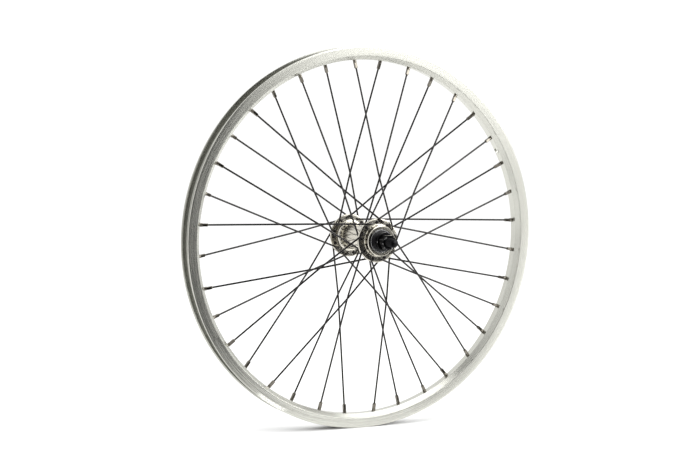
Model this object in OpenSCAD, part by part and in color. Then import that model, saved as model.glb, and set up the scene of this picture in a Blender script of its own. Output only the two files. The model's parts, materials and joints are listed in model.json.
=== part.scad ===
// Front bicycle wheel for a 20 inch bicycle, without its tyre.
// Single-wall alloy rim, 36 interlaced spokes, and a sealed-bearing hub with a nutted solid axle.
// The wheel stands upright: the axle lies along Y, and the near side faces -Y.
// Every module draws with the axle along Z and the near side at +Z, and upright() turns it into place.

/* [Rim] */
// Outer diameter over the rim edges
rim_d = 419; // [415:1:423]
// Diameter of the seats that carry the tyre beads
bead_seat_d = 406; // [404:0.5:407]
// Overall width at the rim edges
rim_w = 22; // [21:0.5:25]
// Width of the rim at its inner corners
rim_inner_w = 20.2; // [19.6:0.1:21]
// Depth from the rim edge to the raised spoke bed
rim_depth = 14.7; // [14.2:0.1:15.5]
// Height of the flat side walls
side_wall_h = 11.2; // [10.6:0.1:11.6]
// Thickness of the spoke bed
bed_t = 2.2; // [2:0.1:2.6]
// Diameter of the valve hole
valve_hole_d = 8.3; // [6.2:0.1:8.6]
// Angle of the valve hole, counted up from +X on the near side
valve_a = 30; // [30:1:30]
// Angle of the seam where the bent rim's ends meet
seam_a = 210; // [205:1:214]
// Opening left between the rim's butted ends
seam_gap = 0.12; // [0.05:0.01:0.3]

/* [Lacing] */
// Number of spokes
spoke_count = 36; // [36:4:36]
// Spokes that each spoke crosses on its own side of the wheel
crosses = 3; // [3:1:3]
// Angle of the first spoke hole in the rim
first_hole_a = -5; // [-5:1:-5]
// Distance of each rim hole from the centre plane, towards its own flange
hole_stagger = 2; // [1:0.1:2.6]
// Diameter of the spoke wire
spoke_d = 2; // [1.8:0.1:2]
// Diameter of the spoke head
head_d = 3.9; // [3.4:0.1:4]
// Radius of the elbow, at the middle of the wire
elbow_r = 2.6; // [2.4:0.1:3]
// Distance between the wires' middles where two spokes weave past each other
weave_gap = 2.1; // [2.06:0.01:2.4]

/* [Nipples] */
// Diameter of the nipple body
nipple_d = 4; // [3.8:0.1:4]
// Width across the nipple's wrench flats
nipple_flats = 3.25; // [3.1:0.05:3.4]
// Length of the nipple below the rim
nipple_l = 9.5; // [8:0.5:10]
// Length of the square part
nipple_square_l = 6; // [4:0.5:7]
// Diameter of the nipple head
nipple_head_d = 6; // [5.6:0.1:6.2]
// Height of the nipple head
nipple_head_h = 2.3; // [2:0.1:2.6]

/* [Hub] */
// Diameter of the flanges
flange_d = 48; // [46:0.5:50]
// Thickness of the flanges
flange_t = 3; // [2.8:0.1:3.2]
// Distance between the middles of the flanges
flange_gap = 67; // [64:1:68]
// Diameter of the circle of spoke holes
spoke_circle_d = 40; // [39.5:0.1:40.5]
// Diameter of the barrel at its waist
barrel_d = 27; // [26:0.5:28]
// Diameter of the bearing boss outside each flange
boss_d = 33; // [31:0.5:33]
// Distance over the outer faces of the bosses
hub_l = 86; // [84:1:88]

/* [Bearings] */
// Outer diameter of the bearing
bearing_d = 26; // [26:1:26]
// Bore of the bearing
bearing_bore = 10; // [10:1:10]
// Width of the bearing
bearing_w = 8; // [8:1:8]
// Diameter of each ball
ball_d = 4.76; // [4.7:0.01:4.78]
// Balls in each bearing
ball_count = 7; // [6:1:7]

/* [Axle] */
// Length of the axle
axle_l = 145; // [140:1:150]
// Thread diameter at the ends of the axle
thread_d = 9.5; // [9.3:0.05:9.5]
// Distance over the faces that clamp against the fork
over_spacers = 100; // [96:1:104]
// Diameter of the spacers
spacer_d = 15; // [14:0.5:17]
// Diameter of the washers
washer_d = 20; // [18:0.5:21]
// Thickness of the washers
washer_t = 2; // [1.5:0.1:2.5]
// Width across the flats of the axle nuts
nut_flats = 15; // [14:0.5:15]
// Height of the axle nuts
nut_h = 9; // [7:0.5:10]

/* [Hidden] */
$fn = 72;

// Rim section: radii from the wheel's centre, and half widths from its centre plane
rim_r = rim_d / 2;
seat_r = bead_seat_d / 2;
corner_r = rim_r - side_wall_h;
bed_r = rim_r - rim_depth;
well_r = bed_r + bed_t;
wall_t = 1.4;
bed_half_w = 4.4;
well_half_w = 4.6;
shelf_in_w = 6.9;
shelf_t = 1.3;
hook_r = 1;

// Lacing: the spokes of one side stand side_step apart, and the two sides alternate
hole_step = 360 / spoke_count;
side_step = 2 * hole_step;
cross_a = crosses * side_step;
weave_a = cross_a - side_step / 2;
hub_r = spoke_circle_d / 2;
flange_w = flange_gap / 2;
hub_pt = [hub_r, 0];
rim_pt = bed_r * [cos(cross_a), sin(cross_a)];
weave_dir = [cos(weave_a), sin(weave_a)];
span = norm(rim_pt - hub_pt);
heading = atan2(rim_pt.y - hub_pt.y, rim_pt.x - hub_pt.x);
weave_part = -cross(hub_pt, weave_dir) / cross(rim_pt - hub_pt, weave_dir);
weave_w = flange_w + (hole_stagger - flange_w) * weave_part;
wire_r = spoke_d / 2;
head_h = 1.1;
elbow_lift = 0.15;
elbow_steps = 4;
spoke_end = 1.3;
seat_h = 1.6;
rim_hole_d = nipple_d + 0.3;
seat_d = nipple_head_d + 0.5;
nipple_bore_d = spoke_d + 0.06;
flange_hole_d = spoke_d + 0.6;

// Bearing section, from the bearing's own middle
bearing_at = hub_l / 2 - bearing_w / 2;
pitch_r = (bearing_d + bearing_bore) / 4;
groove_r = ball_d / 2 + 0.07;
in_shoulder_r = pitch_r - 1.6;
out_shoulder_r = pitch_r + 1.6;
seal_in_r = in_shoulder_r - 0.3;
seal_out_r = out_shoulder_r + 0.9;
seal_from = 3.1;
seal_t = 0.7;
fit = 0.02;

// Axle line
spacer_at = hub_l / 2;
nut_at = over_spacers / 2 + washer_t;
thread_fit = 0.05;
// Inside a nut, the axle and the nut are drawn at the thread's pitch diameter
engaged_d = thread_d - 0.6;

module upright() { rotate([90, 0, 0]) children(); }

// Leaves its children on the near side, or turns them over to the far side
module on_side(near) { rotate([near ? 0 : 180, 0, 0]) children(); }

// A half section [r, w] and its mirror image as one closed outline
module turned(half, a = 360) {
    back = [for (i = [len(half) - 1 : -1 : 0]) if (half[i][1] != 0) [half[i][0], -half[i][1]]];
    rotate_extrude(angle = a) polygon(concat(half, back));
}

// Points of an arc round c
function arc(c, r, a0, a1, n) = [for (i = [0 : n]) c + r * [cos(a0 + (a1 - a0) * i / n),
    sin(a0 + (a1 - a0) * i / n)]];

// Outline of the rim for one half: bed, slope, side wall, bead hook, bead seat and well
function rim_half() = concat(
    [[bed_r, 0], [bed_r, bed_half_w]],
    arc([corner_r + 1.2, rim_inner_w / 2 - 1.1], 1.1, 215, 90, 4),
    [[rim_r - 2.2, rim_w / 2 - 0.1]],
    arc([rim_r - hook_r, rim_w / 2 - hook_r], hook_r, 60, -60, 4),
    [[rim_r - 1.6, rim_w / 2 - 2.2], [rim_r - 2.8, rim_w / 2 - 1.8],
     [seat_r + 0.6, rim_inner_w / 2 - wall_t], [seat_r, rim_inner_w / 2 - wall_t - 0.6],
     [seat_r, shelf_in_w], [seat_r - 0.6, shelf_in_w - 0.5],
     [well_r + 0.9, well_half_w], [well_r, well_half_w - 0.9], [well_r, 0]]);

// Hollow channel on each side of the well, between the slope, the side wall and the bead seat
function rim_channel() = [[seat_r - shelf_t, shelf_in_w + 0.2],
    [seat_r - shelf_t, rim_inner_w / 2 - wall_t],
    [corner_r + 1.3, rim_inner_w / 2 - wall_t - 0.3],
    [bed_r + 2.7, bed_half_w + 1.4],
    [well_r + 1.2, well_half_w + 1.3]];

// Places children at rim hole k, with X along the spoke in plan and Z the way its elbow turns
module at_spoke(k) {
    near = k % 2 == 0;
    outer = k % 4 == 1 || k % 4 == 2;
    turn = outer ? 1 : -1;
    rotate([0, 0, first_hole_a - k * hole_step - turn * cross_a])
        translate([hub_r, 0, near ? flange_w : -flange_w])
            rotate([0, 0, turn * heading])
                rotate([near == outer ? 0 : 180, 0, 0]) children();
}

// Heights above the flange's middle, on the elbow's side, of the weave and of the rim hole
function weave_z(outer) = outer ? weave_w - weave_gap / 2 - flange_w
    : flange_w - weave_w - weave_gap / 2;
function rim_z(outer) = (outer ? 1 : -1) * (hole_stagger - flange_w);
weave_x = span * weave_part;

// Tilt from Z of the spoke's outer stretch, which the nipple and its hole share
function nipple_tilt(outer) = atan2(span - weave_x, rim_z(outer) - weave_z(outer));

module at_nipple(outer) {
    translate([span, 0, rim_z(outer)]) rotate([0, nipple_tilt(outer), 0]) children();
}

// Direction of the stretch after point i of a chain, and the turn that a ring at i halves
function way(pts, i) = let (v = pts[min(i, len(pts) - 2) + 1] - pts[min(i, len(pts) - 2)]) atan2(v.y, v.x);
function turn_at(pts, i) = i == 0 || i == len(pts) - 1 ? 0 : way(pts, i) - way(pts, i - 1);

// A round wire along a chain of points in the XZ plane, with radius r[i] at point i.
// The ring at each bend lies in the plane that halves the bend, so every stretch keeps its section.
module wire(pts, r) {
    sides = 10;
    last = len(pts) - 1;
    rings = [for (i = [0 : last])
        let (half = turn_at(pts, i) / 2, a = way(pts, i) - half + 90, wide = r[i] / cos(half))
        for (j = [0 : sides - 1])
            let (b = 360 * j / sides)
                [pts[i].x + wide * cos(b) * cos(a), r[i] * sin(b), pts[i].y + wide * cos(b) * sin(a)]];
    polyhedron(rings, concat(
        [[for (j = [0 : sides - 1]) j], [for (j = [sides - 1 : -1 : 0]) last * sides + j]],
        [for (i = [0 : last - 1], j = [0 : sides - 1])
            [i * sides + j, (i + 1) * sides + j, (i + 1) * sides + (j + 1) % sides,
                i * sides + (j + 1) % sides]]));
}

// One spoke: head, shank through the flange, elbow, a stretch to the weave and one to the rim
module spoke(outer) {
    foot = flange_t / 2;
    bend_z = foot + elbow_lift;
    weave_pt = [weave_x, weave_z(outer)];
    to_weave = weave_pt - [elbow_r, bend_z];
    run = sqrt(to_weave * to_weave - elbow_r * elbow_r);
    bend = 90 - atan2(to_weave.y, to_weave.x) + atan2(elbow_r, run);
    end_dir = [span - weave_x, rim_z(outer) - weave_z(outer)];
    elbow = [for (i = [0 : elbow_steps]) [elbow_r, bend_z]
        + elbow_r * [-cos(bend * i / elbow_steps), sin(bend * i / elbow_steps)]];
    wire(concat([[0, -foot - head_h], [0, -foot - head_h / 2], [0, -foot - 0.01], [0, -foot]], elbow,
        [weave_pt, [span, rim_z(outer)] + spoke_end * end_dir / norm(end_dir)]),
        concat([head_d * 0.36, head_d / 2, head_d / 2], [for (i = [0 : elbow_steps + 3]) wire_r]));
}

module spokes(first) {
    for (k = [first : 4 : spoke_count - 1]) at_spoke(k) spoke(first == 1 || first == 2);
}

// One nipple, with its head seated in the well of the rim
module nipple() {
    difference() {
        union() {
            translate([0, 0, -nipple_l]) intersection() {
                translate([-nipple_flats / 2, -nipple_flats / 2, 0])
                    cube([nipple_flats, nipple_flats, nipple_square_l]);
                union() {
                    cylinder(d1 = nipple_flats - 0.4, d2 = nipple_d, h = 1);
                    translate([0, 0, 1]) cylinder(d = nipple_d, h = nipple_square_l);
                }
            }
            translate([0, 0, nipple_square_l - nipple_l])
                cylinder(d = nipple_d, h = nipple_l - nipple_square_l + seat_h);
            translate([0, 0, seat_h]) cylinder(d = nipple_head_d, h = nipple_head_h * 0.45);
            translate([0, 0, seat_h + nipple_head_h * 0.45])
                cylinder(d1 = nipple_head_d, d2 = nipple_head_d * 0.6, h = nipple_head_h * 0.55);
        }
        translate([0, 0, -nipple_l - 1]) cylinder(d = nipple_bore_d, h = nipple_l + 8);
        translate([-nipple_head_d, -0.6, seat_h + nipple_head_h - 1])
            cube([2 * nipple_head_d, 1.2, 2]);
    }
}

module nipples(first) {
    for (k = [first : 2 : spoke_count - 1]) {
        outer = k % 4 == 1 || k % 4 == 2;
        at_spoke(k) at_nipple(outer) nipple();
    }
}

module rim() {
    gap_a = seam_gap / rim_r * 180 / PI;
    color("silver") upright() difference() {
        rotate([0, 0, seam_a + gap_a / 2]) difference() {
            turned(rim_half(), 360 - gap_a);
            for (s = [1, -1]) rotate_extrude(angle = 360 - gap_a)
                polygon([for (p = rim_channel()) [p.x, s * p.y]]);
        }
        for (k = [0 : spoke_count - 1]) {
            outer = k % 4 == 1 || k % 4 == 2;
            at_spoke(k) at_nipple(outer) {
                translate([0, 0, -4]) cylinder(d = rim_hole_d, h = 8);
                translate([0, 0, seat_h]) cylinder(d = seat_d, h = 4);
            }
        }
        rotate([0, 0, valve_a]) translate([bed_r - 2, 0, 0]) rotate([0, 90, 0])
            cylinder(d = valve_hole_d, h = bed_t + 4);
    }
}

// Two pins pressed into the side channels, which hold the rim's ends in line
module rim_joint_pins() {
    pin_a = 8;
    pin_r = 0.84;
    from_shelf = 0.86;
    from_well = 0.81;
    color("dimgray") upright() rotate([0, 0, seam_a - pin_a / 2]) for (s = [1, -1])
        rotate_extrude(angle = pin_a)
            translate([seat_r - shelf_t - from_shelf, s * (shelf_in_w + from_well)])
                circle(r = pin_r, $fn = 32);
}

module hub_shell() {
    inner_face = flange_w - flange_t / 2;
    outer_face = flange_w + flange_t / 2;
    blend = 4;
    color("gainsboro") upright() difference() {
        turned(concat(
            [[bearing_bore, 0], [bearing_bore, bearing_at - bearing_w / 2],
             [bearing_d / 2, bearing_at - bearing_w / 2], [bearing_d / 2, hub_l / 2],
             [boss_d / 2 - 0.6, hub_l / 2], [boss_d / 2, hub_l / 2 - 0.6]],
            arc([boss_d / 2 + 1, outer_face + 1], 1, 180, 270, 3),
            arc([flange_d / 2 - 1, outer_face - 1], 1, 90, 0, 3),
            arc([flange_d / 2 - 1, inner_face + 1], 1, 0, -90, 3),
            arc([barrel_d / 2 + blend, inner_face - blend], blend, 90, 180, 6),
            [[barrel_d / 2, 0]]));
        for (k = [0 : spoke_count - 1]) at_spoke(k)
            translate([0, 0, -flange_t]) cylinder(d = flange_hole_d, h = 2 * flange_t);
    }
}

module outer_race(near) {
    edge = bearing_w / 2;
    color("lightgray") upright() on_side(near) translate([0, 0, bearing_at]) difference() {
        turned([[out_shoulder_r, 0], [out_shoulder_r, seal_from], [seal_out_r, seal_from],
            [seal_out_r, edge], [bearing_d / 2 - 0.4, edge], [bearing_d / 2, edge - 0.4],
            [bearing_d / 2, 0]]);
        rotate_extrude() translate([pitch_r, 0]) circle(r = groove_r);
    }
}

module inner_race(near) {
    edge = bearing_w / 2;
    color("lightgray") upright() on_side(near) translate([0, 0, bearing_at]) difference() {
        turned([[bearing_bore / 2 + fit, 0], [bearing_bore / 2 + fit, edge - 0.4],
            [bearing_bore / 2 + fit + 0.4, edge], [seal_in_r - 0.2, edge],
            [seal_in_r - 0.2, seal_from - 0.1], [in_shoulder_r, seal_from - 0.1],
            [in_shoulder_r, 0]]);
        rotate_extrude() translate([pitch_r, 0]) circle(r = groove_r);
    }
}

module balls(near) {
    color("whitesmoke") upright() on_side(near) translate([0, 0, bearing_at])
        for (i = [0 : ball_count - 1]) rotate([0, 0, i * 360 / ball_count])
            translate([pitch_r, 0, 0]) sphere(d = ball_d);
}

module ball_cage(near) {
    cage_t = 1.6;
    cage_w = 5.8;
    color("tan") upright() on_side(near) translate([0, 0, bearing_at]) difference() {
        turned([[pitch_r - cage_t / 2, 0], [pitch_r - cage_t / 2, cage_w / 2],
            [pitch_r + cage_t / 2, cage_w / 2], [pitch_r + cage_t / 2, 0]]);
        for (i = [0 : ball_count - 1]) rotate([0, 0, i * 360 / ball_count])
            rotate([0, 90, 0]) cylinder(d = ball_d + 0.24, h = 2 * pitch_r);
    }
}

// A seal disc, snapped into the outer race, on the side of the bearing given by out
module seal(near, out) {
    color("black") upright() on_side(near) translate([0, 0, bearing_at])
        rotate([out ? 0 : 180, 0, 0]) rotate_extrude()
            polygon([[seal_in_r, seal_from], [seal_out_r, seal_from],
                [seal_out_r, seal_from + seal_t], [seal_in_r + 1.6, seal_from + seal_t],
                [seal_in_r + 1.2, seal_from + seal_t - 0.3], [seal_in_r, seal_from + seal_t - 0.3]]);
}

module axle() {
    plain = hub_l / 2 + 1;
    end = axle_l / 2;
    chamfer = 0.8;
    color("dimgray") upright() turned([[0, 0], [0, end], [thread_d / 2 - chamfer, end],
        [thread_d / 2, end - chamfer], [thread_d / 2, nut_at + nut_h], [engaged_d / 2, nut_at + nut_h],
        [engaged_d / 2, nut_at], [thread_d / 2, nut_at], [thread_d / 2, plain],
        [bearing_bore / 2, plain], [bearing_bore / 2, 0]]);
}

module bearing_sleeve() {
    half = bearing_at - bearing_w / 2;
    color("silver") upright() turned([[bearing_bore / 2 + fit, 0], [bearing_bore / 2 + fit, half],
        [seal_in_r - 0.3, half], [seal_in_r - 0.3, 0]]);
}

module spacer(near) {
    wide = spacer_d / 2;
    end = over_spacers / 2;
    color("black") upright() on_side(near) rotate_extrude()
        polygon([[thread_d / 2 + thread_fit, spacer_at + 1.2],
            [bearing_bore / 2 + thread_fit, spacer_at + 1.2], [bearing_bore / 2 + thread_fit, spacer_at],
            [seal_in_r - 0.3, spacer_at], [seal_in_r - 0.3, spacer_at + 0.5],
            [wide - 0.4, spacer_at + 0.5], [wide, spacer_at + 0.9], [wide, end - 0.5],
            [wide - 0.5, end], [thread_d / 2 + thread_fit, end]]);
}

module washer(near) {
    color("black") upright() on_side(near) translate([0, 0, over_spacers / 2]) rotate_extrude()
        polygon([[thread_d / 2 + thread_fit, 0], [washer_d / 2, 0], [washer_d / 2, washer_t - 0.4],
            [washer_d / 2 - 0.4, washer_t], [thread_d / 2 + thread_fit, washer_t]]);
}

// A hexagon nut, with both faces turned to a cone that trims the corners
module axle_nut(near) {
    corner_r = nut_flats / 2 / cos(30);
    trim = 1;
    mouth = 1.2;
    color("black") upright() on_side(near) translate([0, 0, nut_at]) difference() {
        intersection() {
            cylinder(r = corner_r, h = nut_h, $fn = 6);
            rotate_extrude() polygon([[0, 0], [nut_flats / 2, 0], [corner_r + 0.1, trim],
                [corner_r + 0.1, nut_h - trim], [nut_flats / 2, nut_h], [0, nut_h]]);
        }
        translate([0, 0, -1]) cylinder(d = engaged_d + 2 * thread_fit, h = nut_h + 2);
        translate([0, 0, nut_h - mouth])
            cylinder(d1 = engaged_d + 2 * thread_fit, d2 = thread_d + 1.8, h = mouth + 0.01);
    }
}

rim();
rim_joint_pins();
hub_shell();
color("slategray") upright() spokes(2);  // spokes_near_outer
color("slategray") upright() spokes(0);  // spokes_near_inner
color("slategray") upright() spokes(1);  // spokes_far_outer
color("slategray") upright() spokes(3);  // spokes_far_inner
color("lightgray") upright() nipples(0);  // nipples_near
color("lightgray") upright() nipples(1);  // nipples_far
outer_race(true);  // outer_race_near
outer_race(false);  // outer_race_far
seal(true, true);  // outer_seal_near
seal(false, true);  // outer_seal_far
seal(true, false);  // inner_seal_near
seal(false, false);  // inner_seal_far
inner_race(true);  // inner_race_near
inner_race(false);  // inner_race_far
balls(true);  // balls_near
balls(false);  // balls_far
ball_cage(true);  // ball_cage_near
ball_cage(false);  // ball_cage_far
axle();
bearing_sleeve();
spacer(true);  // spacer_near
spacer(false);  // spacer_far
washer(true);  // washer_near
washer(false);  // washer_far
axle_nut(true);  // axle_nut_near
axle_nut(false);  // axle_nut_far
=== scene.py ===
"""The looks of a 20 inch front bicycle wheel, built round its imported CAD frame.

Each piece is made by one operator and rides on the CAD body that carries it. Sizes in the
property groups are in millimetres, meshes are in metres, and the axle lies along Y.
"""

import json
import math

import bmesh
import bpy
import numpy as np
from bpy.props import FloatProperty, FloatVectorProperty, IntProperty, PointerProperty
from mathutils import Matrix, Vector

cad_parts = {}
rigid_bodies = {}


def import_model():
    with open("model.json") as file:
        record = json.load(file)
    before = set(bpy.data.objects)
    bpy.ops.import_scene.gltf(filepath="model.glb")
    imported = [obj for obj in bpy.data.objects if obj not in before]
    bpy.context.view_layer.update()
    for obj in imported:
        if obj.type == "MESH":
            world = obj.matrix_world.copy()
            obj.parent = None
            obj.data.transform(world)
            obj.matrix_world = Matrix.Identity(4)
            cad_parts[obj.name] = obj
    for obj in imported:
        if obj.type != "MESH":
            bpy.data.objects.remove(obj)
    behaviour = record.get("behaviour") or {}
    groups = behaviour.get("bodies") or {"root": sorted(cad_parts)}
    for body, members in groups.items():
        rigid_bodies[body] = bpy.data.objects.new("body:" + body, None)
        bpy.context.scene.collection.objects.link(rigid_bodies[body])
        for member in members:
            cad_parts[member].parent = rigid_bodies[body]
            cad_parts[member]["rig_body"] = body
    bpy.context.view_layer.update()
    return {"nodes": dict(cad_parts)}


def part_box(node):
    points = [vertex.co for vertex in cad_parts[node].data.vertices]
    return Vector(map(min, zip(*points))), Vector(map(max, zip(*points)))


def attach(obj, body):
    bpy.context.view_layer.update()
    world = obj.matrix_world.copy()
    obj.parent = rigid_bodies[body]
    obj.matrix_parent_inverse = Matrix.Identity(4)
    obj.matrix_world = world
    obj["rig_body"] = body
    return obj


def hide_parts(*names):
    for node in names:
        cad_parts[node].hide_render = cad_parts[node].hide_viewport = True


bl_info = {
    "name": "Front bicycle wheel",
    "version": (1, 0, 0),
    "blender": (4, 5, 0),
    "location": "3D View > Sidebar > Wheel",
    "description": "Builds a laced 20 inch front wheel with its rim, spokes, hub and axle",
    "category": "Object",
}

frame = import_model()
MM = 0.001
PHOTO_WIDTH = 700
SENSOR = 36.0
# Points of a CAD mesh that are closer than this, in mm, are one point
MERGE_MM = 0.002
# Most of a noise texture's values lie between these two
NOISE_RANGE = (0.3, 0.7)


def linear(hex_colour):
    """Linear RGBA from an sRGB hex colour: c / 12.92 up to 0.04045, else ((c + 0.055) / 1.055) ^ 2.4."""
    parts = [int(hex_colour[i : i + 2], 16) / 255 for i in (1, 3, 5)]
    return (*[c / 12.92 if c <= 0.04045 else ((c + 0.055) / 1.055) ** 2.4 for c in parts], 1.0)


def node_mm(name, corner, axis):
    """One coordinate of a CAD node's box, in millimetres: corner 0 is the lowest, 1 the highest."""
    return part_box(name)[corner][axis] / MM


class RimSizes(bpy.types.PropertyGroup):
    """Places on the rim that its finish needs."""

    edge_radius: FloatProperty(
        name="Edge radius", description="Radius of the rim's outer edges, mm",
        default=node_mm("rim", 1, 0), min=150, max=400)
    channel_floor: FloatProperty(
        name="Channel floor", description="Radius at the foot of the tyre channel's walls, mm",
        default=201.2, min=100, max=390)
    hook_width: FloatProperty(
        name="Hook width", description="Width of the brushed edges beside the tyre channel, mm",
        default=1.5, min=0.5, max=5)
    half_width: FloatProperty(
        name="Half width", description="Half of the rim's width, mm",
        default=node_mm("rim", 1, 1), min=5, max=40)
    seam_angle: FloatProperty(
        name="Seam angle", description="Where the hoop's ends meet, up from +X seen from the near side",
        default=math.radians(210), subtype="ANGLE")
    scuff_angle: FloatProperty(
        name="Scuff angle", description="Middle of the rubbed patch on the near edge",
        default=math.radians(237.5), subtype="ANGLE")


class LacingSizes(bpy.types.PropertyGroup):
    """The spoke pattern and the wire."""

    spokes: IntProperty(name="Spokes", description="Spokes in the wheel", default=36, min=16, max=48)
    crosses: IntProperty(
        name="Crosses", description="Spokes that each spoke crosses on its side", default=3, min=1, max=4)
    first_angle: FloatProperty(
        name="First hole", description="Angle of the first rim hole", default=math.radians(-5),
        subtype="ANGLE")
    bed_radius: FloatProperty(
        name="Bed radius", description="Radius where the nipples leave the rim, mm",
        default=194.8, min=100, max=380)
    stagger: FloatProperty(
        name="Stagger", description="Offset of each rim hole towards its flange, mm",
        default=2.0, min=0, max=10)
    circle_radius: FloatProperty(
        name="Hole circle", description="Radius of the circle of flange holes, mm",
        default=20.0, min=10, max=60)
    flange_place: FloatProperty(
        name="Flange place", description="Distance from the centre plane to a flange's middle, mm",
        default=33.5, min=10, max=60)
    flange_thickness: FloatProperty(
        name="Flange thickness", description="Thickness of a flange, mm", default=3.0, min=1, max=8)
    wire_radius: FloatProperty(
        name="Wire radius", description="Radius of the spoke wire, mm", default=1.0, min=0.5, max=2)
    head_radius: FloatProperty(
        name="Head radius", description="Radius of a spoke's head, mm", default=1.95, min=1, max=3)
    head_height: FloatProperty(
        name="Head height", description="Height of a spoke's head, mm", default=1.1, min=0.5, max=3)
    elbow_radius: FloatProperty(
        name="Elbow radius", description="Radius of the elbow at the wire's middle, mm",
        default=2.6, min=1.5, max=6)
    elbow_lift: FloatProperty(
        name="Elbow lift", description="Straight wire between flange and elbow, mm",
        default=0.15, min=0, max=2)
    weave_gap: FloatProperty(
        name="Weave gap", description="Distance between two woven wires' corners, along the axle, mm",
        default=2.1, min=1, max=5)
    tail: FloatProperty(
        name="Tail", description="Wire beyond the bed, inside the nipple, mm", default=1.3, min=0, max=5)


class AxleSizes(bpy.types.PropertyGroup):
    """The axle and its rolled thread."""

    half_length: FloatProperty(
        name="Half length", description="Half of the axle's length, mm",
        default=node_mm("axle", 1, 1), min=20, max=200)
    core_radius: FloatProperty(
        name="Core radius", description="Radius of the plain middle, mm",
        default=node_mm("axle", 1, 0), min=2, max=20)
    plain_half: FloatProperty(
        name="Plain half", description="Half length of the plain middle, mm", default=44.0, min=1, max=100)
    thread_radius: FloatProperty(
        name="Thread radius", description="Radius over the thread's crests, mm",
        default=4.75, min=2, max=20)
    pitch: FloatProperty(
        name="Pitch", description="Distance between turns of the thread, mm: 26 turns to the inch",
        default=25.4 / 26, min=0.3, max=4)
    thread_depth: FloatProperty(
        name="Thread depth", description="Height of the thread's ridges, mm", default=0.5, min=0.1, max=2)


class FinishColours(bpy.types.PropertyGroup):
    """Base colours of the finishes, linear."""

    rim: FloatVectorProperty(
        name="Rim", description="Brushed anodised aluminium", subtype="COLOR", size=4,
        default=linear("#C8C8C0"), min=0, max=1)
    hub: FloatVectorProperty(
        name="Hub", description="Polished aluminium", subtype="COLOR", size=4,
        default=linear("#CFCBBF"), min=0, max=1)
    wire: FloatVectorProperty(
        name="Spoke wire", description="Drawn stainless steel", subtype="COLOR", size=4,
        default=linear("#353433"), min=0, max=1)
    nipple: FloatVectorProperty(
        name="Nipple", description="Nickel plate on brass", subtype="COLOR", size=4,
        default=linear("#6E6A62"), min=0, max=1)
    race: FloatVectorProperty(
        name="Bearing steel", description="Ground bearing steel", subtype="COLOR", size=4,
        default=linear("#C4C5C6"), min=0, max=1)
    seal: FloatVectorProperty(
        name="Seal", description="Black nitrile rubber", subtype="COLOR", size=4,
        default=linear("#141416"), min=0, max=1)
    cage: FloatVectorProperty(
        name="Ball cage", description="Moulded nylon", subtype="COLOR", size=4,
        default=linear("#C9B68C"), min=0, max=1)
    axle: FloatVectorProperty(
        name="Axle", description="Dark oiled steel", subtype="COLOR", size=4,
        default=linear("#1F1F20"), min=0, max=1)
    black: FloatVectorProperty(
        name="Black parts", description="Black zinc plate on steel", subtype="COLOR", size=4,
        default=linear("#0D0D0F"), min=0, max=1)
    bare: FloatVectorProperty(
        name="Bare edges", description="Steel where the black plate has worn off", subtype="COLOR",
        size=4, default=linear("#9A9A9A"), min=0, max=1)
    floor: FloatVectorProperty(
        name="Floor", description="Pale studio floor", subtype="COLOR", size=4,
        default=linear("#F7F7F7"), min=0, max=1)


class StageSettings(bpy.types.PropertyGroup):
    """The photograph's viewpoint and the light."""

    yaw: FloatProperty(
        name="Yaw", description="Angle of the view round the wheel, from straight along the axle",
        default=0.46987, subtype="ANGLE")
    pitch: FloatProperty(
        name="Pitch", description="Angle of the view above the axle", default=0.0835, subtype="ANGLE")
    roll: FloatProperty(name="Roll", description="Turn of the picture", default=0.02319, subtype="ANGLE")
    distance: FloatProperty(
        name="Distance", description="From the camera to the wheel's centre, along the view, mm",
        default=1729.2, min=100, max=10000)
    across: FloatProperty(
        name="Across", description="Wheel's centre right of the view's middle, mm", default=14.52)
    down: FloatProperty(
        name="Down", description="Wheel's centre below the view's middle, mm", default=2.99)
    focal_px: FloatProperty(
        name="Focal length", description="Focal length in pixels of a picture 700 wide",
        default=1572.0, min=200, max=5000)
    key_power: FloatProperty(
        name="Key light", description="Power of the light above, W", default=12, min=0, max=1000)
    front_power: FloatProperty(
        name="Front light", description="Power of the light in front, W", default=34, min=0, max=1000)
    surround: FloatProperty(
        name="Surround", description="Brightness of the white surround", default=1.12, min=0, max=5)
    flag_from: FloatProperty(
        name="Flag from", description="First edge of the black flag, from -Y towards +X",
        default=math.radians(-34), subtype="ANGLE")
    flag_to: FloatProperty(
        name="Flag to", description="Last edge of the flag's upper part, from -Y towards +X",
        default=math.radians(9), subtype="ANGLE")
    flag_middle_to: FloatProperty(
        name="Flag middle to", description="Last edge of the flag at the axle's height",
        default=math.radians(30), subtype="ANGLE")
    flag_foot_to: FloatProperty(
        name="Flag foot to", description="Last edge of the flag at the floor",
        default=math.radians(34), subtype="ANGLE")
    flag_slant_top: FloatProperty(
        name="Slant top", description="Height over the axle up to which the last edge slants, m",
        default=0.2, min=0, max=2)
    flag_distance: FloatProperty(
        name="Flag distance", description="From the wheel's middle to the flag, m",
        default=0.65, min=0.3, max=10)
    floor_cloth_from: FloatProperty(
        name="Floor cloth from", description="Inner radius of the black cloth on the floor, m",
        default=0.3, min=0.2, max=5)
    floor_cloth_end: FloatProperty(
        name="Floor cloth end", description="Last edge of the cloth on the floor, from -Y towards +X",
        default=math.radians(20), subtype="ANGLE")
    floor_cloth_to: FloatProperty(
        name="Floor cloth to", description="Outer radius of the black cloth on the floor, m",
        default=1.6, min=0.3, max=10)
    flag_top: FloatProperty(
        name="Flag top", description="Height of the flag's upper edge over the axle, m",
        default=1.3, min=0, max=5)


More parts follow.
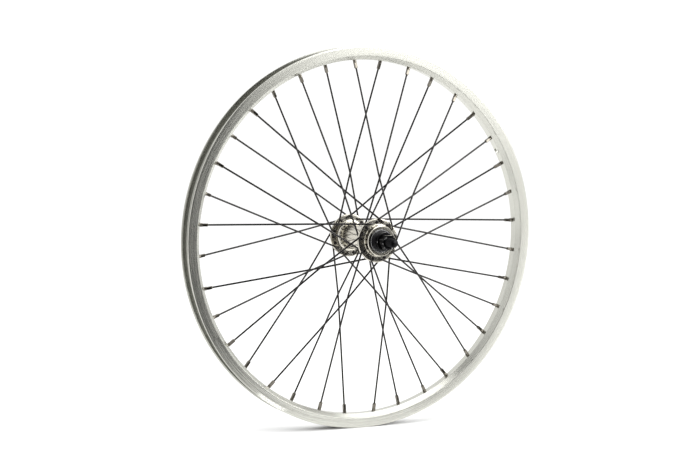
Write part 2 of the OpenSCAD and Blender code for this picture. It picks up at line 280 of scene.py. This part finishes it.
def put(name, points, faces, material, body, straightened=None):
    """A mesh object from an (n, 3) array of points in metres and a list or array of faces.

    straightened gives each point's place if the piece lay straight along Z, for streaks along it.
    """
    mesh = bpy.data.meshes.new(name)
    mesh.from_pydata(np.asarray(points, float), [], faces)
    mesh.update()
    mesh.shade_smooth()
    if straightened is not None:
        layer = mesh.attributes.new("straightened", "FLOAT_VECTOR", "POINT")
        layer.data.foreach_set("vector", np.asarray(straightened, np.float32).ravel())
    piece = bpy.data.objects.new(name, mesh)
    bpy.context.scene.collection.objects.link(piece)
    mesh.materials.append(material)
    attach(piece, body)
    return piece


def grid_faces(rows, columns, start=0):
    """Quads of a tube's grid, whose columns close on themselves: rows * columns points, by rows."""
    i, j = np.meshgrid(np.arange(rows - 1), np.arange(columns), indexing="ij")
    k = (j + 1) % columns
    quads = np.stack([i * columns + j, (i + 1) * columns + j, (i + 1) * columns + k, i * columns + k], -1)
    return start + quads.reshape(-1, 4)


def smooth_copy(name, node, material, sharp=30.0, bevel=0.0):
    """A merged copy of a CAD node: smooth over its round faces, with edges over sharp degrees kept.

    A bevel in millimetres rounds the sharp edges, as a deburred part's are. Normals follow the
    larger faces, so that a flat wall beside a rounded corner mirrors as flat.
    """
    mesh = frame["nodes"][node].data.copy()
    mesh.name = name
    mesh.materials.clear()
    mesh.materials.append(material)
    work = bmesh.new()
    work.from_mesh(mesh)
    bmesh.ops.remove_doubles(work, verts=work.verts, dist=MERGE_MM * MM)
    for edge in work.edges:
        edge.smooth = not (len(edge.link_faces) == 2 and edge.calc_face_angle(0) > math.radians(sharp))
    for face in work.faces:
        face.smooth = True
        face.material_index = 0
    work.to_mesh(mesh)
    work.free()
    if mesh.has_custom_normals:
        mesh.attributes.remove(mesh.attributes["custom_normal"])
    piece = bpy.data.objects.new(name, mesh)
    bpy.context.scene.collection.objects.link(piece)
    if bevel:
        round_off = piece.modifiers.new("Round off", "BEVEL")
        round_off.width = bevel * MM
        round_off.segments = 2
        round_off.limit_method = "ANGLE"
        round_off.angle_limit = math.radians(sharp)
        round_off.harden_normals = True
    even = piece.modifiers.new("Even faces", "WEIGHTED_NORMAL")
    even.mode = "FACE_AREA"
    even.weight = 100
    even.keep_sharp = True
    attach(piece, frame["nodes"][node]["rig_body"])
    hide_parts(node)
    return piece


def add(tree, kind, inputs=None, **settings):
    """Adds a shader node. inputs maps socket names or numbers to values or to sockets to link."""
    made = tree.nodes.new(kind)
    for key, value in settings.items():
        setattr(made, key, value)
    for key, value in (inputs or {}).items():
        if isinstance(value, bpy.types.NodeSocket):
            tree.links.new(value, made.inputs[key])
        else:
            made.inputs[key].default_value = value
    return made


def shader(name, metallic, colour=None):
    """A new material with one Principled shader: returns the material, its tree and the shader.

    Every material's roughness comes from nodes, and so does its colour where none is given.
    """
    made = bpy.data.materials.new(name)
    made.use_nodes = True
    tree = made.node_tree
    tree.nodes.clear()
    plain = {"Metallic": metallic}
    if colour is not None:
        plain["Base Color"] = colour
    skin = add(tree, "ShaderNodeBsdfPrincipled", plain)
    add(tree, "ShaderNodeOutputMaterial", {"Surface": skin.outputs[0]})
    return made, tree, skin


def calc(tree, operation, *values):
    """The result of a Math node on one or two values, each a number or a socket."""
    return add(tree, "ShaderNodeMath", dict(enumerate(values)), operation=operation).outputs[0]


def mix(tree, kind, share, first, second, **settings):
    """A socket that goes from first to second as share goes from 0 to 1. kind is FLOAT or RGBA."""
    first_socket, second_socket, result = {"FLOAT": (2, 3, 0), "RGBA": (6, 7, 2)}[kind]
    made = add(tree, "ShaderNodeMix", {0: share, first_socket: first, second_socket: second},
               data_type=kind, **settings)
    return made.outputs[result]


def wheel_space(tree, start):
    """Sockets for radius, place along the axle and angle round it, from Object coordinates.

    radius is the square root of x^2 + z^2, and the angle counts from start, so that it jumps there.
    """
    place = add(tree, "ShaderNodeTexCoord")
    turned = add(tree, "ShaderNodeMapping", {
        "Vector": place.outputs["Object"], "Rotation": (0, start + math.pi, 0)})
    xyz = add(tree, "ShaderNodeSeparateXYZ", {0: turned.outputs[0]})
    flat = add(tree, "ShaderNodeCombineXYZ", {0: xyz.outputs[0], 2: xyz.outputs[2]})
    radius = add(tree, "ShaderNodeVectorMath", {0: flat.outputs[0]}, operation="LENGTH")
    angle = calc(tree, "ARCTAN2", xyz.outputs[2], xyz.outputs[0])
    return radius.outputs["Value"], xyz.outputs[1], angle


def turned_lines(tree, start, line_mm, streak_mm, radius_mm):
    """A noise drawn out round the axle: lines line_mm wide and about streak_mm long at radius_mm."""
    radius, along, angle = wheel_space(tree, start)
    fine = 1 / (line_mm * MM)
    spot = add(tree, "ShaderNodeCombineXYZ", {
        0: calc(tree, "MULTIPLY", radius, fine), 1: calc(tree, "MULTIPLY", along, fine),
        2: calc(tree, "MULTIPLY", angle, radius_mm / streak_mm)})
    return add(tree, "ShaderNodeTexNoise", {
        "Vector": spot.outputs[0], "Scale": 1.0, "Detail": 3.0, "Roughness": 0.6}).outputs["Fac"]


def grain(tree, size_mm, detail):
    """A noise that is alike in all directions, with features about size_mm across."""
    place = add(tree, "ShaderNodeTexCoord")
    return add(tree, "ShaderNodeTexNoise", {
        "Vector": place.outputs["Object"], "Scale": 1 / (size_mm * MM), "Detail": detail}).outputs["Fac"]


def spread(tree, value, low, high, start=0.0, end=1.0):
    """A socket that carries value from the range start to end into the range low to high."""
    return add(tree, "ShaderNodeMapRange", {
        "Value": value, "From Min": start, "From Max": end, "To Min": low, "To Max": high}).outputs[0]


def uneven(tree, skin, noise, low, high):
    """Lets the shader's roughness go from low to high over most of a noise's values."""
    tree.links.new(spread(tree, noise, low, high, *NOISE_RANGE), skin.inputs["Roughness"])


def lined_round(tree, skin, lines, strength, depth_mm, anisotropy):
    """Gives a metal the bump and the drawn out shine of fine lines round the axle.

    The tangent runs round the axle, and a quarter turn draws each reflection out across the lines.
    """
    quarter_turn = 0.25
    bump = add(tree, "ShaderNodeBump", {
        "Height": lines, "Strength": strength, "Distance": depth_mm * MM})
    ring = add(tree, "ShaderNodeTangent", direction_type="RADIAL", axis="Y")
    tree.links.new(bump.outputs[0], skin.inputs["Normal"])
    tree.links.new(ring.outputs[0], skin.inputs["Tangent"])
    skin.inputs["Anisotropic"].default_value = anisotropy
    skin.inputs["Anisotropic Rotation"].default_value = quarter_turn


def rubbed_patch(tree, sizes, radius, along, angle):
    """1 in torn spots on the near edge, within a few degrees of where the angle is 0, else 0."""
    width = 4
    grit_mm = 10 / 9
    fading = (math.radians(3), math.radians(6))
    tearing = (0.42, 0.55)
    near = calc(tree, "LESS_THAN", along, (width - sizes.half_width) * MM)
    edge = calc(tree, "GREATER_THAN", radius, (sizes.edge_radius - width) * MM)
    patch = spread(tree, calc(tree, "ABSOLUTE", angle), 1, 0, *fading)
    torn = spread(tree, grain(tree, grit_mm, detail=4.0), 0, 1, *tearing)
    return calc(tree, "MULTIPLY", calc(tree, "MULTIPLY", near, edge), calc(tree, "MULTIPLY", patch, torn))


def tone_and_painted_channel_shade(tree, sizes, lines, radius, along):
    """Brightness of the rim's metal: nearly even with the brushed lines, but with painted shade that
    darkens the foot of the tyre channel.
    """
    rise = 2
    foot_shade_level, top_shade_level = 0.06, 0.7
    line_tone = 0.93
    aside = calc(tree, "ABSOLUTE", along)
    within = calc(tree, "LESS_THAN", aside, (sizes.half_width - sizes.hook_width) * MM)
    outside = calc(tree, "GREATER_THAN", radius, (sizes.channel_floor - rise) * MM)
    # Painted shade: inside the tyre channel the metal is darkened most at the channel's foot and less
    # higher up, where little light gets in.
    painted_channel_shade = spread(tree, radius, foot_shade_level, top_shade_level,
                  sizes.channel_floor * MM, (sizes.channel_floor + rise) * MM)
    bright = spread(tree, lines, line_tone, 1.0, *NOISE_RANGE)
    return mix(tree, "FLOAT", calc(tree, "MULTIPLY", within, outside), bright, painted_channel_shade)


def brushed_aluminium(colours, sizes):
    """Extruded aluminium, bent to a hoop, brushed round its length and clear anodised.

    The brushing leaves lines round the wheel that draw each light out across them. The rubbed
    patch on the near edge is where the anodising is scratched off. The foot of the tyre channel is
    darkened with painted shade, as little light gets into it.
    """
    made, tree, skin = shader("brushed_anodised_aluminium", 1.0)
    lines = turned_lines(tree, sizes.seam_angle, line_mm=0.7, streak_mm=90, radius_mm=sizes.edge_radius)
    radius, along, angle = wheel_space(tree, sizes.scuff_angle + math.pi)
    rub = rubbed_patch(tree, sizes, radius, along, angle)
    brushed = spread(tree, lines, 0.2, 0.3, *NOISE_RANGE)
    scratched = 0.6
    # Painted shade: this brightness darkens the foot of the tyre channel, on top of the brushed lines' own
    # small variation.
    lines_and_painted_shade = tone_and_painted_channel_shade(tree, sizes, lines, radius, along)
    grey = add(tree, "ShaderNodeCombineColor", {0: lines_and_painted_shade, 1: lines_and_painted_shade, 2: lines_and_painted_shade})
    shade = mix(tree, "RGBA", 1.0, colours.rim, grey.outputs[0], blend_type="MULTIPLY")
    tint = mix(tree, "RGBA", rub, shade, linear("#F2F1EC"))
    tree.links.new(tint, skin.inputs["Base Color"])
    tree.links.new(mix(tree, "FLOAT", rub, brushed, scratched), skin.inputs["Roughness"])
    lined_round(tree, skin, lines, strength=0.15, depth_mm=0.01, anisotropy=0.6)
    return made


def polished_aluminium(colours):
    """Turned and buffed aluminium: mirror-like, with faint lines left by the lathe."""
    made, tree, skin = shader("polished_aluminium", 1.0, colours.hub)
    lines = turned_lines(tree, 0.0, line_mm=0.6, streak_mm=60, radius_mm=20)
    uneven(tree, skin, lines, low=0.13, high=0.2)
    lined_round(tree, skin, lines, strength=0.1, depth_mm=0.004, anisotropy=0.5)
    return made


def drawn_stainless(colours):
    """Stainless wire drawn through a die: a soft shine, with fine streaks along the wire.

    The streaks are 0.4 mm wide and 25 mm long, coarser than the real ones, so that they show.
    """
    width = 1 / (0.4 * MM)
    length = 1 / (25 * MM)
    made, tree, skin = shader("drawn_stainless_wire", 1.0, colours.wire)
    place = add(tree, "ShaderNodeAttribute", attribute_name="straightened")
    drawn = add(tree, "ShaderNodeMapping", {
        "Vector": place.outputs["Vector"], "Scale": (width, width, length)})
    streaks = add(tree, "ShaderNodeTexNoise", {"Vector": drawn.outputs[0], "Scale": 1.0, "Detail": 2.0})
    uneven(tree, skin, streaks.outputs["Fac"], low=0.18, high=0.34)
    return made


def nickel_plate(colours):
    """Bright nickel on turned brass: slightly warm, with soft spots from the plating barrel."""
    made, tree, skin = shader("nickel_plated_brass", 1.0, colours.nipple)
    uneven(tree, skin, grain(tree, size_mm=1.2, detail=3.0), low=0.08, high=0.22)
    return made


def ground_steel(colours):
    """Hardened bearing steel with ground faces: clean and bright, with close round lines."""
    made, tree, skin = shader("ground_bearing_steel", 1.0, colours.race)
    lines = turned_lines(tree, 0.0, line_mm=0.25, streak_mm=30, radius_mm=12)
    uneven(tree, skin, lines, low=0.12, high=0.26)
    return made


def nitrile_rubber(colours):
    """Moulded black rubber: dull, slightly uneven."""
    made, tree, skin = shader("nitrile_rubber", 0.0, colours.seal)
    pores = grain(tree, size_mm=0.5, detail=3.0)
    bump = add(tree, "ShaderNodeBump", {"Height": pores, "Strength": 0.15, "Distance": 0.02 * MM})
    uneven(tree, skin, pores, low=0.4, high=0.6)
    tree.links.new(bump.outputs[0], skin.inputs["Normal"])
    return made


def moulded_nylon(colours):
    """Natural nylon, injection moulded: waxy, with a little light passing under its skin."""
    made, tree, skin = shader("moulded_nylon", 0.0, colours.cage)
    skin.inputs["Subsurface Weight"].default_value = 0.2
    skin.inputs["Subsurface Scale"].default_value = 1.0 * MM
    uneven(tree, skin, grain(tree, size_mm=0.8, detail=2.0), low=0.36, high=0.5)
    return made


def oiled_steel(colours):
    """Rolled steel thread with its dark oil film, thicker in some places than in others."""
    made, tree, skin = shader("oiled_rolled_steel", 1.0, colours.axle)
    uneven(tree, skin, grain(tree, size_mm=2.5, detail=4.0), low=0.26, high=0.5)
    return made


def turned_steel(colours):
    """Plain steel with the lathe's lines, for what sits inside the hub and the rim."""
    made, tree, skin = shader("turned_steel", 1.0, colours.bare)
    lines = turned_lines(tree, 0.0, line_mm=0.3, streak_mm=30, radius_mm=8)
    uneven(tree, skin, lines, low=0.22, high=0.4)
    return made


def black_zinc(colours):
    """Black zinc plate on steel: dark and half glossy, worn to bare metal on the corners.

    Pointiness is above one half where the surface turns outwards, which finds those corners.
    """
    made, tree, skin = shader("black_zinc_plate", 0.85)
    turned_out = (0.53, 0.62)
    thin_plate = (0.35, 0.6)
    cloud = grain(tree, size_mm=1.5, detail=4.0)
    corner = add(tree, "ShaderNodeNewGeometry").outputs["Pointiness"]
    patchy = spread(tree, cloud, 0.3, 1, *thin_plate)
    worn = calc(tree, "MULTIPLY", spread(tree, corner, 0, 1, *turned_out), patchy)
    tree.links.new(mix(tree, "RGBA", worn, colours.black, colours.bare), skin.inputs["Base Color"])
    uneven(tree, skin, cloud, low=0.24, high=0.42)
    return made


def black_velvet():
    """Cloth that gives almost nothing back, for what the metal mirrors as dark."""
    made, tree, skin = shader("black_velvet", 0.0, linear("#1C1C1C"))
    pile = spread(tree, grain(tree, size_mm=25, detail=2.0), low=0.85, high=0.95)
    tree.links.new(pile, skin.inputs["Roughness"])
    return made


def studio_floor(colours):
    """Matt white studio floor, with the faintest mottle."""
    made, tree, skin = shader("matt_floor_paint", 0.0, colours.floor)
    mottle = spread(tree, grain(tree, size_mm=1000 / 3, detail=2.0), low=0.65, high=0.75)
    tree.links.new(mottle, skin.inputs["Roughness"])
    return made


def unit(way):
    """A direction, drawn to length 1."""
    return way / np.linalg.norm(way)


def spoke_route(sizes, outer):
    """Points [along, up] of one spoke's middle line and its radius at each, in millimetres.

    The line runs up through the flange, round the elbow's arc, straight to the weave, and after a
    gentle bend straight to the rim. The elbow ends where its tangent passes through the weave. The
    bend rounds its corner off, so two woven wires lie closer than the weave gap, and overlap there.
    """
    step = 2 * math.pi / sizes.spokes
    cross = 2 * step * sizes.crosses
    rim = sizes.bed_radius * np.array([math.cos(cross), math.sin(cross)])
    hub = np.array([sizes.circle_radius, 0.0])
    weave = cross - step
    toward = np.array([math.cos(weave), math.sin(weave)])
    line = rim - hub
    span = np.linalg.norm(line)
    part = -(hub[0] * toward[1] - hub[1] * toward[0]) / (line[0] * toward[1] - line[1] * toward[0])
    height = sizes.flange_place + (sizes.stagger - sizes.flange_place) * part
    sign = 1 if outer else -1
    weave_up = sign * (height - sizes.flange_place) - sizes.weave_gap / 2
    rim_up = sign * (sizes.stagger - sizes.flange_place)
    foot = sizes.flange_thickness / 2
    bend_up = foot + sizes.elbow_lift
    bend_r = sizes.elbow_radius
    weave_at = np.array([span * part, weave_up])
    rest = weave_at - (bend_r, bend_up)
    run = math.sqrt(rest @ rest - bend_r * bend_r)
    bend = math.pi / 2 - math.atan2(rest[1], rest[0]) + math.atan2(bend_r, run)
    end = np.array([span, rim_up])
    end = end + sizes.tail * unit(end - weave_at)
    elbow_points = 13
    turn = np.linspace(0, bend, elbow_points)
    elbow = np.stack([bend_r - bend_r * np.cos(turn), bend_up + bend_r * np.sin(turn)], 1)
    ease = 6.0
    before = weave_at + ease * unit(elbow[-1] - weave_at)
    after = weave_at + ease * unit(end - weave_at)
    bow_points = 9
    s = np.linspace(0, 1, bow_points)[:, None]
    bow = (1 - s) ** 2 * before + 2 * s * (1 - s) * weave_at + s**2 * after
    # The head's outline from its crown down, in shares of its radius and of its height
    head = np.array([[0.62, 1.0], [0.84, 0.88], [0.97, 0.62], [1.0, 0.4], [1.0, 0.0]])
    crown = np.stack([np.zeros(len(head)), -foot - head[:, 1] * sizes.head_height], 1)
    ledge = 0.01
    neck = np.array([[0, ledge - foot]])
    route = np.vstack([crown, neck, elbow, bow, end])
    wide = np.full(len(route), sizes.wire_radius)
    wide[: len(head)] = head[:, 0] * sizes.head_radius
    return route, wide, hub, line


def wire_points(route, wide, sides):
    """Rings round a chain of points in the XZ plane, and where they'd be if it lay straight along Z.

    Each ring is centred on its point and lies across the mean direction of the stretches it joins.
    """
    ways = np.diff(route, axis=0)
    ways /= np.linalg.norm(ways, axis=1)[:, None]
    mean = np.vstack([ways[:1], ways[:-1] + ways[1:], ways[-1:]])
    mean /= np.linalg.norm(mean, axis=1)[:, None]
    side = np.stack([-mean[:, 1], mean[:, 0]], 1)
    t = np.linspace(0, 2 * math.pi, sides, endpoint=False)
    flat = route[:, None] + (wide[:, None] * np.cos(t))[..., None] * side[:, None]
    length = np.concatenate([[0], np.cumsum(np.linalg.norm(np.diff(route, axis=0), axis=1))])
    straight = np.stack([wide[:, None] * np.cos(t), wide[:, None] * np.sin(t),
                         np.repeat(length[:, None], sides, 1)], -1)
    return np.stack([flat[..., 0], wide[:, None] * np.sin(t), flat[..., 1]], -1), straight


def place_spoke(points, sizes, k, outer, hub, line):
    """Carries points from a spoke's own space to spoke k's place in the wheel, in metres."""
    near = k % 2 == 0
    turn = 1 if outer else -1
    step = 2 * math.pi / sizes.spokes
    cross = 2 * step * sizes.crosses
    flip = Matrix.Rotation(0 if near == outer else math.pi, 4, "X")
    heading = Matrix.Rotation(turn * math.atan2(line[1], line[0]), 4, "Z")
    shift = Matrix.Translation((hub[0], 0, sizes.flange_place * (1 if near else -1)))
    spin = Matrix.Rotation(sizes.first_angle - k * step - turn * cross, 4, "Z")
    upright = Matrix.Rotation(math.pi / 2, 4, "X")
    whole = np.array(upright @ spin @ shift @ heading @ flip)
    return (points @ whole[:3, :3].T + whole[:3, 3]) * MM


def thread_surface(sizes):
    """The axle as one turned surface: (points, rows, columns) of a grid in metres.

    On the threaded stretches the radius falls from the crest by the thread's depth times a
    rounded triangle wave of place / pitch - angle / a full turn, so the ridge climbs one pitch a turn.
    """
    columns = 40
    rows_per_turn = 8
    chamfer = 0.8
    shoulder = sizes.plain_half - 0.05
    half = sizes.half_length
    stretch = np.arange(half, sizes.plain_half, -sizes.pitch / rows_per_turn)
    along = np.concatenate([-stretch, [-shoulder, 0, shoulder], stretch[::-1]])
    angle = np.linspace(0, 2 * math.pi, columns, endpoint=False)
    y, a = np.meshgrid(along, angle, indexing="ij")
    wave = np.abs((y / sizes.pitch - a / (2 * math.pi)) % 1.0 * 2 - 1)
    wave = wave * wave * (3 - 2 * wave)
    radius = sizes.thread_radius - sizes.thread_depth * wave
    radius = np.minimum(radius, sizes.thread_radius - chamfer + (half - np.abs(y)))
    radius = np.where(np.abs(y) < sizes.plain_half, sizes.core_radius, radius)
    points = np.stack([radius * np.cos(a), y, radius * np.sin(a)], -1) * MM
    return points.reshape(-1, 3), len(along), columns


class WHEEL_OT_stage(bpy.types.Operator):
    """Adds the floor, the light and the camera at the photograph's viewpoint"""

    bl_idname = "wheel.stage"
    bl_label = "Stage"

    def execute(self, context):
        settings = context.scene.wheel_stage
        bottom = -context.scene.wheel_rim.edge_radius * MM
        self.camera(settings)
        self.floor(context.scene.wheel_colours, bottom)
        self.light(settings)
        self.flag(settings, bottom)
        context.scene.view_settings.view_transform = "Standard"
        return {"FINISHED"}

    def camera(self, settings):
        """Looks along the axle, then yaws, pitches and rolls, with the wheel's centre set off."""
        cy, sy = math.cos(settings.yaw), math.sin(settings.yaw)
        cp, sp = math.cos(settings.pitch), math.sin(settings.pitch)
        near = Vector((sy, cy * sp, -cy * cp))
        up = Vector((0, -cp, -sp))
        up = (up - near * up.dot(near)).normalized()
        roll = Matrix.Rotation(settings.roll, 3, "Z")
        near, up = roll @ near, roll @ up
        right = -near.cross(up)
        world_to_view = Matrix((right, -near, up)).transposed()
        offset = Vector((settings.across, settings.down, settings.distance)) * MM
        view = Matrix.Diagonal((1, -1, -1)) @ world_to_view
        data = bpy.data.cameras.new("camera")
        data.sensor_width = SENSOR
        data.lens = SENSOR * settings.focal_px / PHOTO_WIDTH
        data.clip_start, data.clip_end = 0.05, 100
        camera = bpy.data.objects.new("camera", data)
        bpy.context.scene.collection.objects.link(camera)
        place = world_to_view.transposed() @ -offset
        camera.matrix_world = Matrix.Translation(place) @ view.transposed().to_4x4()
        bpy.context.scene.camera = camera

    def floor(self, colours, bottom):
        """A round floor wide enough to fill every view."""
        reach = 30.0
        sides = 96
        t = np.linspace(0, 2 * math.pi, sides, endpoint=False)
        points = np.stack([reach * np.cos(t), reach * np.sin(t), np.full(sides, bottom)], 1)
        mesh = bpy.data.meshes.new("floor")
        mesh.from_pydata(points, [], [list(range(sides))])
        mesh.materials.append(studio_floor(colours))
        floor = bpy.data.objects.new("floor", mesh)
        bpy.context.scene.collection.objects.link(floor)

    def cloth(self, name, r, z, first, last):
        """Black cloth: rows of points at radius r and height z, from angle first to angle last.

        Only reflections meet it, so that the floor stays white and the polished parts turn dark.
        """
        columns = 65
        rows = len(z)
        t = np.linspace(first, last, columns, axis=1)
        points = np.stack([r[:, None] * np.sin(t), -r[:, None] * np.cos(t),
                           np.repeat(z[:, None], columns, 1)], -1)
        i, j = np.meshgrid(np.arange(rows - 1), np.arange(columns - 1), indexing="ij")
        start = i * columns + j
        quads = np.stack([start, start + 1, start + columns + 1, start + columns], -1).reshape(-1, 4)
        mesh = bpy.data.meshes.new(name)
        mesh.from_pydata(points.reshape(-1, 3), [], quads)
        mesh.materials.append(black_velvet())
        cloth = bpy.data.objects.new(name, mesh)
        bpy.context.scene.collection.objects.link(cloth)
        cloth.visible_camera = cloth.visible_diffuse = cloth.visible_shadow = False

    def flag(self, settings, bottom):
        """An upright arc of black cloth in front, and more of it on the floor."""
        z = np.array([bottom, 0.0, settings.flag_slant_top, settings.flag_top])
        last = np.array([
            settings.flag_foot_to, settings.flag_middle_to, settings.flag_to, settings.flag_to])
        even = np.ones(len(z))
        self.cloth("flag", settings.flag_distance * even, z, settings.flag_from * even, last)
        over_floor = bottom + 1 * MM
        r = np.array([settings.floor_cloth_from, settings.floor_cloth_to])
        even = np.ones(len(r))
        self.cloth("floor_cloth", r, over_floor * even, settings.flag_from * even,
                   settings.floor_cloth_end * even)

    def light(self, settings):
        """An even white surround, one large soft light above and one in front at the right."""
        world = bpy.data.worlds.new("studio")
        world.use_nodes = True
        world.node_tree.nodes["Background"].inputs[0].default_value = (1, 1, 1, 1)
        world.node_tree.nodes["Background"].inputs[1].default_value = settings.surround
        bpy.context.scene.world = world
        key_place = Vector((0.3, -0.4, 1.6))
        key_size = (1.6, 1.0)
        front_place = Vector((1.5, -1.4, 0.75))
        front_size = (1.8, 1.1)
        self.soft_light("key", settings.key_power, key_place, key_size)
        self.soft_light("front", settings.front_power, front_place, front_size)

    def soft_light(self, name, power, place, size):
        """A rectangular light of power watts at place, which faces the wheel's middle. Metres."""
        data = bpy.data.lights.new(name, "AREA")
        data.shape = "RECTANGLE"
        data.size, data.size_y = size
        data.energy = power
        box = bpy.data.objects.new(name, data)
        bpy.context.scene.collection.objects.link(box)
        facing = place.to_track_quat("Z", "Y").to_matrix().to_4x4()
        box.matrix_world = Matrix.Translation(place) @ facing


class WHEEL_OT_rim(bpy.types.Operator):
    """Builds the rim and the pins in its seam"""

    bl_idname = "wheel.rim"
    bl_label = "Rim"

    def execute(self, context):
        scene = context.scene
        metal = brushed_aluminium(scene.wheel_colours, scene.wheel_rim)
        smooth_copy("rim_hoop", "rim", metal, bevel=0.4)
        smooth_copy("seam_pins", "rim_joint_pins", turned_steel(scene.wheel_colours))
        return {"FINISHED"}


class WHEEL_OT_hub(bpy.types.Operator):
    """Builds the polished hub shell"""

    bl_idname = "wheel.hub"
    bl_label = "Hub shell"

    def execute(self, context):
        metal = polished_aluminium(context.scene.wheel_colours)
        smooth_copy("hub_body", "hub_shell", metal, sharp=35)
        return {"FINISHED"}


class WHEEL_OT_spokes(bpy.types.Operator):
    """Builds the four sets of spokes, with their heads, elbows and woven bends"""

    bl_idname = "wheel.spokes"
    bl_label = "Spokes"

    def execute(self, context):
        sizes = context.scene.wheel_lacing
        metal = drawn_stainless(context.scene.wheel_colours)
        sides = 14
        sets = ("near_inner", "far_outer", "near_outer", "far_inner")
        for first, name in enumerate(sets):
            outer = name.endswith("outer")
            route, wide, hub, line = spoke_route(sizes, outer)
            rings, straight = wire_points(route, wide, sides)
            rows = len(route)
            points, faces, straightened = [], [], []
            for k in range(first, sizes.spokes, len(sets)):
                start = len(points) * rows * sides
                points.append(place_spoke(rings.reshape(-1, 3), sizes, k, outer, hub, line))
                straightened.append(straight.reshape(-1, 3) + (0, 0, k * 2 * sizes.bed_radius))
                faces += grid_faces(rows, sides, start).tolist()
                faces.append([start + j for j in range(sides)])
                faces.append([start + (rows - 1) * sides + j for j in range(sides)][::-1])
            piece = put("spoke_wires_" + name, np.vstack(points), faces, metal, "wheel",
                        np.vstack(straightened) * MM)
            piece.data.set_sharp_from_angle(angle=math.radians(50))
            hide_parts("spokes_" + name)
        return {"FINISHED"}


class WHEEL_OT_nipples(bpy.types.Operator):
    """Builds the spoke nipples"""

    bl_idname = "wheel.nipples"
    bl_label = "Nipples"

    def execute(self, context):
        metal = nickel_plate(context.scene.wheel_colours)
        for side in ("near", "far"):
            smooth_copy("spoke_nipples_" + side, "nipples_" + side, metal)
        return {"FINISHED"}


class WHEEL_OT_bearings(bpy.types.Operator):
    """Builds both bearings: races, balls, cages and seals"""

    bl_idname = "wheel.bearings"
    bl_label = "Bearings"

    def execute(self, context):
        colours = context.scene.wheel_colours
        steel, rubber, nylon = ground_steel(colours), nitrile_rubber(colours), moulded_nylon(colours)
        for side in ("near", "far"):
            smooth_copy("bearing_outer_" + side, "outer_race_" + side, steel)
            smooth_copy("bearing_inner_" + side, "inner_race_" + side, steel)
            smooth_copy("bearing_balls_" + side, "balls_" + side, steel)
            smooth_copy("cage_" + side, "ball_cage_" + side, nylon)
            smooth_copy("seal_outside_" + side, "outer_seal_" + side, rubber)
            smooth_copy("seal_inside_" + side, "inner_seal_" + side, rubber)
        return {"FINISHED"}


class WHEEL_OT_axle(bpy.types.Operator):
    """Builds the threaded axle and the sleeve between the bearings"""

    bl_idname = "wheel.axle"
    bl_label = "Axle"

    def execute(self, context):
        colours = context.scene.wheel_colours
        points, rows, columns = thread_surface(context.scene.wheel_axle)
        faces = grid_faces(rows, columns).tolist()
        faces.append(list(range(columns)))
        faces.append([(rows - 1) * columns + j for j in range(columns)][::-1])
        metal = oiled_steel(colours)
        piece = put("threaded_axle", points, faces, metal, "axle")
        piece.data.set_sharp_from_angle(angle=math.radians(60))
        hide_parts("axle")
        smooth_copy("sleeve", "bearing_sleeve", turned_steel(colours))
        return {"FINISHED"}


class WHEEL_OT_nuts(bpy.types.Operator):
    """Builds the spacers, washers and nuts at both ends of the axle"""

    bl_idname = "wheel.nuts"
    bl_label = "Nuts and spacers"

    def execute(self, context):
        metal = black_zinc(context.scene.wheel_colours)
        for side in ("near", "far"):
            smooth_copy("clamp_spacer_" + side, "spacer_" + side, metal, bevel=0.15)
            smooth_copy("flat_washer_" + side, "washer_" + side, metal, bevel=0.12)
            smooth_copy("hex_nut_" + side, "axle_nut_" + side, metal, sharp=20, bevel=0.2)
        return {"FINISHED"}


class WHEEL_PT_panel(bpy.types.Panel):
    """Lists the steps that build the wheel"""

    bl_label = "Bicycle wheel"
    bl_idname = "WHEEL_PT_panel"
    bl_space_type = "VIEW_3D"
    bl_region_type = "UI"
    bl_category = "Wheel"

    def draw(self, context):
        for step in STEPS:
            self.layout.operator(step.bl_idname)


STEPS = (WHEEL_OT_stage, WHEEL_OT_rim, WHEEL_OT_hub, WHEEL_OT_spokes, WHEEL_OT_nipples,
         WHEEL_OT_bearings, WHEEL_OT_axle, WHEEL_OT_nuts)
GROUPS = {"wheel_rim": RimSizes, "wheel_lacing": LacingSizes, "wheel_axle": AxleSizes,
          "wheel_colours": FinishColours, "wheel_stage": StageSettings}


def register():
    for made in (*GROUPS.values(), *STEPS, WHEEL_PT_panel):
        bpy.utils.register_class(made)
    for name, made in GROUPS.items():
        setattr(bpy.types.Scene, name, PointerProperty(type=made))


def unregister():
    for name in GROUPS:
        delattr(bpy.types.Scene, name)
    for made in (*GROUPS.values(), *STEPS, WHEEL_PT_panel):
        bpy.utils.unregister_class(made)


def main():
    """Builds everything in order."""
    register()
    bpy.ops.wheel.stage()
    bpy.ops.wheel.rim()
    bpy.ops.wheel.hub()
    bpy.ops.wheel.spokes()
    bpy.ops.wheel.nipples()
    bpy.ops.wheel.bearings()
    bpy.ops.wheel.axle()
    bpy.ops.wheel.nuts()


if __name__ == "__main__":
    main()
